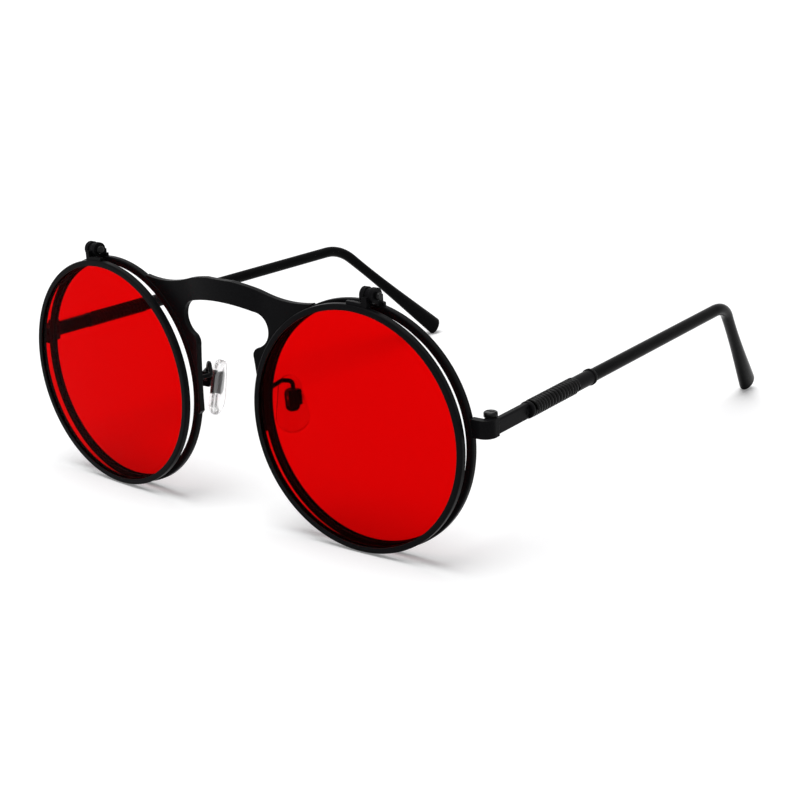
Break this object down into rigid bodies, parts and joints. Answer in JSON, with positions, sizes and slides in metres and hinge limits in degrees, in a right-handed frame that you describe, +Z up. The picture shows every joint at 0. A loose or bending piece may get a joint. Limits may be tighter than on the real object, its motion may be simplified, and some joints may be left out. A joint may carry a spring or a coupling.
{
  "type": "flip-up round sunglasses",
  "caption": "Round metal sunglasses with red lenses that flip up over clear ones, a keyhole bridge, folding temples with coiled springs and nose pads that rock.",
  "frame": {"origin": "the middle of the glasses' bounding box on the surface that they stand on, with the temples open and the flip lenses down", "axes": "+Z up as worn, +Y backwards along the temples, +X towards the wearer's left, so the lenses face -Y"},
  "size_m": [0.1368, 0.1443, 0.0574],
  "materials": {
    "frame_metal": "black enamel, half gloss",
    "clear_lens": "clear, polished",
    "red_lens": "red tint, polished",
    "sleeve_plastic": "black, gloss",
    "pad_silicone": "clear silicone, half gloss",
    "bright_screw": "bright"
  },
  "bodies": {
    "front_frame": {"bridge_plate": "frame_metal", "base_rim_left": "frame_metal", "base_rim_right": "frame_metal", "base_lens_left": "clear_lens", "base_lens_right": "clear_lens", "end_piece_left": "frame_metal", "end_piece_right": "frame_metal", "temple_screw_left": "frame_metal", "temple_screw_right": "frame_metal", "flip_bracket_left": "frame_metal", "flip_bracket_right": "frame_metal", "flip_pin_left": "frame_metal", "flip_pin_right": "frame_metal", "flip_nut_left": "frame_metal", "flip_nut_right": "frame_metal", "pad_arm_left": "frame_metal", "pad_arm_right": "frame_metal", "pad_box_left": "frame_metal", "pad_box_right": "frame_metal", "pad_screw_left": "bright_screw", "pad_screw_right": "bright_screw"},
    "flip_left": {"flip_rim_left": "frame_metal", "flip_lens_left": "red_lens", "flip_leaf_left": "frame_metal"},
    "flip_right": {"flip_rim_right": "frame_metal", "flip_lens_right": "red_lens", "flip_leaf_right": "frame_metal"},
    "temple_left": {"temple_arm_left": "frame_metal", "spring_seat_left": "frame_metal", "temple_spring_left": "frame_metal", "temple_ferrule_left": "frame_metal", "temple_sleeve_left": "sleeve_plastic"},
    "temple_right": {"temple_arm_right": "frame_metal", "spring_seat_right": "frame_metal", "temple_spring_right": "frame_metal", "temple_ferrule_right": "frame_metal", "temple_sleeve_right": "sleeve_plastic"},
    "nose_pad_left": {"pad_core_left": "frame_metal", "nose_pad_left": "pad_silicone"},
    "nose_pad_right": {"pad_core_right": "frame_metal", "nose_pad_right": "pad_silicone"}
  },
  "joints": [
    {"name": "temple_fold_left", "type": "hinge", "parent": "front_frame", "child": "temple_left", "pos_m": [0.06596, -0.06203, 0.03116], "axis": [0, 0, 1], "range_deg": [0, 80]},
    {"name": "temple_fold_right", "type": "hinge", "parent": "front_frame", "child": "temple_right", "pos_m": [-0.06596, -0.06203, 0.03116], "axis": [0, 0, -1], "range_deg": [0, 58]},
    {"name": "flip_up_left", "type": "hinge", "parent": "front_frame", "child": "flip_left", "pos_m": [0.04124, -0.06781, 0.05575], "axis": [-0.9985, -0.0541, 0], "range_deg": [0, 95]},
    {"name": "flip_up_right", "type": "hinge", "parent": "front_frame", "child": "flip_right", "pos_m": [-0.04124, -0.06781, 0.05575], "axis": [-0.9985, 0.0541, 0], "range_deg": [0, 95]},
    {"name": "pad_rock_left", "type": "hinge", "parent": "front_frame", "child": "nose_pad_left", "pos_m": [0.0134, -0.06228, 0.028], "axis": [0.5, 0.866, 0], "range_deg": [-8, 8]},
    {"name": "pad_rock_right", "type": "hinge", "parent": "front_frame", "child": "nose_pad_right", "pos_m": [-0.0134, -0.06228, 0.028], "axis": [0.5, -0.866, 0], "range_deg": [-8, 8]}
  ]
}
